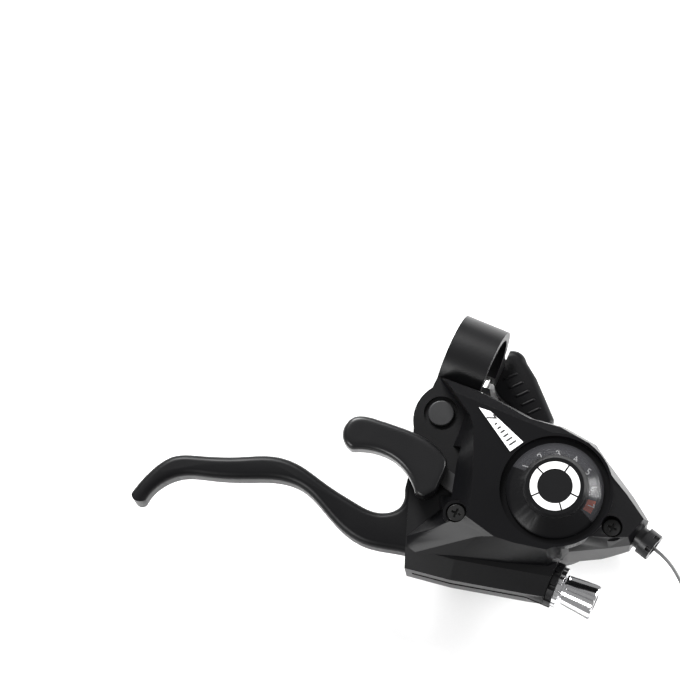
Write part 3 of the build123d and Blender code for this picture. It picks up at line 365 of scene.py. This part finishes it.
def makeSpring(node, s):
    # centre line (radius, a, low + climb), with a circle of the wire's size across it
    cx, cy = s["centre"]
    radius, turns, thick = s["radius"], s["turns"], s["thick"]
    t = np.linspace(0, 1, int(turns * springWire["pointsPerTurn"]))
    flatTurn = springWire["flatTurn"]
    climb = np.clip((t * turns - flatTurn) / (turns - 2 * flatTurn), 0, 1)  # none in the end turns
    a = 2 * np.pi * turns * t
    line = np.stack([cx + radius * np.cos(a), cy + radius * np.sin(a),
                     s["low"] + thick + (s["high"] - s["low"] - 2 * thick) * climb], axis=1)
    out = np.stack([np.cos(a), np.sin(a), 0 * a], axis=1)
    up = np.array([0, 0, 1.0])
    v = np.linspace(0, 2 * np.pi, springWire["sides"], endpoint=False)[:, None, None]
    size = np.full(len(t), thick)
    size[[0, -1]] = 0.0  # the wire's ends close to a point
    grid = line[None] + size[None, :, None] * (np.cos(v) * out[None] + np.sin(v) * up)
    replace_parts(surface("coil_" + node, grid, "unit", "spring_steel"), node)


for node, s in springs.items():
    makeSpring(node, s)
print("knob and springs done")


# Thumb paddle's grip ribs: low rounded bars across the face that shows beside the clamp
ribs = {"from": (10.5, 6.0), "step": (2.9, -1.95), "count": 5, "half": 2.6, "thick": 0.5, "z": -20.14,
        "heading": (0.66, 0.75), "flatten": 0.75, "fullness": 8, "stations": 24, "sides": 12}


def makeRibs(r):
    # each bar runs along its heading, and its half thickness is thick * sqrt(1 - t ** fullness)
    t = np.linspace(-1, 1, r["stations"])[None, :]
    v = np.linspace(0, 2 * np.pi, r["sides"], endpoint=False)[:, None]
    hx, hy = r["heading"]
    thin = r["thick"] * np.sqrt(np.clip(1 - t ** r["fullness"], 0, 1))
    for k in range(r["count"]):
        x = r["from"][0] + r["step"][0] * k + hx * r["half"] * t + thin * np.cos(v) * hy
        y = r["from"][1] + r["step"][1] * k + hy * r["half"] * t - thin * np.cos(v) * hx
        z = r["z"] + thin * np.sin(v) * r["flatten"]
        surface(f"paddleRib{k}", np.stack([x, y, z], axis=-1), "thumb", "paddle_black")


makeRibs(ribs)


# Gear numbers below the window, and the marks on the label
inkDepth = {"text": 0.02, "barBelow": 0.03, "barAbove": 0.02}


def makeText(name, words, x, y, z, size, turn, body, mat, slotName, shear=0.0, weight=0.0):
    data = bpy.data.curves.new(name, "FONT")
    data.body = words
    data.size = size * mm
    data.extrude = inkDepth["text"] * mm
    data.shear = shear
    data.offset = weight * mm
    data.align_x = "CENTER"
    data.align_y = "CENTER"
    source = bpy.data.objects.new(name + "Source", data)
    mesh = bpy.data.meshes.new_from_object(source)
    bpy.data.objects.remove(source)
    spin = Matrix.Rotation(math.radians(turn), 4, "Z")
    mesh.transform(Matrix.Translation(Vector((x, y, z)) * mm) @ spin)
    mesh.name = name
    mesh.materials.clear()
    mesh.materials.append(mat)
    obj = bpy.data.objects.new(name, mesh)
    bpy.context.scene.collection.objects.link(obj)
    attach(obj, body)


numbers = {"gears": 7, "radius": 12.0, "size": 3.0, "z": 17.3, "step": 27.0, "tilt": -66.0}
for gear in range(numbers["gears"]):
    angle = numbers["step"] * gear
    x, y = polar(dialAxis, numbers["radius"], angle)
    number = numbers["gears"] - gear
    makeText(f"gearNumber{number}", str(number), x, y, numbers["z"], numbers["size"],
             angle + numbers["tilt"], "unit", inkWhite, "label_white")
labelMarks = {"z": 19.93, "number": (14.9, -18.6), "size": 3.6, "turn": -32, "shear": 0.3, "weight": 0.1,
              "ticks": 6, "firstTick": (17.4, -20.0), "step": (1.45, -0.72), "lean": (0.55, 0.9),
              "reach": 0.45, "growth": 0.16, "halfWidth": 0.3}
makeText("labelNumber", "7", *labelMarks["number"], labelMarks["z"], labelMarks["size"], labelMarks["turn"],
         "unit", inkBlack, "ring_black", labelMarks["shear"], labelMarks["weight"])


def makeBar(name, a, b, half, z, body, mat):
    # a flat bar: a line from a to b with half a width to each side
    a, b = np.array(a, float), np.array(b, float)
    side = np.array([-(b - a)[1], (b - a)[0]]) / np.linalg.norm(b - a) * half
    ends = np.array([a - side, b - side, b + side, a + side])
    low = np.c_[ends, np.full(4, z - inkDepth["barBelow"])]
    high = np.c_[ends, np.full(4, z + inkDepth["barAbove"])]
    grid = np.stack([low, high], axis=1)
    mesh = bpy.data.meshes.new(name)
    sides = [(2 * i, 2 * i + 1, (2 * i + 3) % 8, (2 * i + 2) % 8) for i in range(4)]
    faces = [(0, 2, 4, 6), (7, 5, 3, 1)] + sides
    mesh.from_pydata((grid.reshape(-1, 3) * mm).tolist(), [], faces)
    work = bmesh.new()
    work.from_mesh(mesh)
    bmesh.ops.recalc_face_normals(work, faces=work.faces)
    work.to_mesh(mesh)
    work.free()
    mesh.materials.append(mat)
    obj = bpy.data.objects.new(name, mesh)
    bpy.context.scene.collection.objects.link(obj)
    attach(obj, body)


for k in range(labelMarks["ticks"]):  # ticks that grow along the label
    middle = np.array(labelMarks["firstTick"]) + k * np.array(labelMarks["step"])
    half = np.array(labelMarks["lean"]) * (labelMarks["reach"] + labelMarks["growth"] * k)
    makeBar(f"labelTick{k}", middle - half, middle + half, labelMarks["halfWidth"], labelMarks["z"],
            "unit", inkBlack)
print("marks done")


# Dark gaps that part the bright ring on the hub into segments
ringGaps = {"inner": 5.45, "outer": 7.9, "half": 0.24, "z": 24.28, "angles": (79, -3, -52, -133, 156)}
for k, angle in enumerate(ringGaps["angles"]):
    inner = polar(dialAxis, ringGaps["inner"], angle)
    outer = polar(dialAxis, ringGaps["outer"], angle)
    makeBar(f"ringGap{k}", inner, outer, ringGaps["half"], ringGaps["z"],
            "unit", finishes["dial_black"])


# Stage: a pale floor just below the coil, and soft light from above and the sides
stage = {"floorZ": -26.3, "floorSize": 2.4, "floorTone": (0.9, 0.9, 0.9), "floorRough": 0.8, "world": 0.32}


def makeStage(s):
    h = s["floorSize"]
    mesh = bpy.data.meshes.new("floor")
    z = s["floorZ"] * mm
    mesh.from_pydata([(-h, -h, z), (h, -h, z), (h, h, z), (-h, h, z)], [], [(0, 1, 2, 3)])
    mesh.materials.append(material("paleFloor", s["floorTone"], s["floorRough"], vary=0.02, bump=0.0))
    floor = bpy.data.objects.new("floor", mesh)
    bpy.context.scene.collection.objects.link(floor)
    world = bpy.data.worlds.new("studio")
    world.use_nodes = True
    world.node_tree.nodes["Background"].inputs["Color"].default_value = (1, 1, 1, 1)
    world.node_tree.nodes["Background"].inputs["Strength"].default_value = s["world"]
    bpy.context.scene.world = world


lightAim = (0, -0.03, 0)
lights = {"topLeft": {"place": (-0.40, 0.42, 0.46), "size": 0.30, "power": 12.0},
          "right": {"place": (0.45, 0.30, 0.20), "size": 0.28, "power": 5.5},
          "front": {"place": (-0.25, -0.5, 0.40), "size": 0.30, "power": 4.0}}


def makeLight(name, lit):
    data = bpy.data.lights.new(name, "AREA")
    data.size = lit["size"]
    data.energy = lit["power"]
    lamp = bpy.data.objects.new(name, data)
    lamp.location = lit["place"]
    lamp.rotation_mode = "QUATERNION"
    lamp.rotation_quaternion = (Vector(lit["place"]) - Vector(lightAim)).to_track_quat("Z", "Y")
    bpy.context.scene.collection.objects.link(lamp)


makeStage(stage)
bpy.context.scene.view_settings.view_transform = "Standard"
for name, lit in lights.items():
    makeLight(name, lit)
print("stage done")
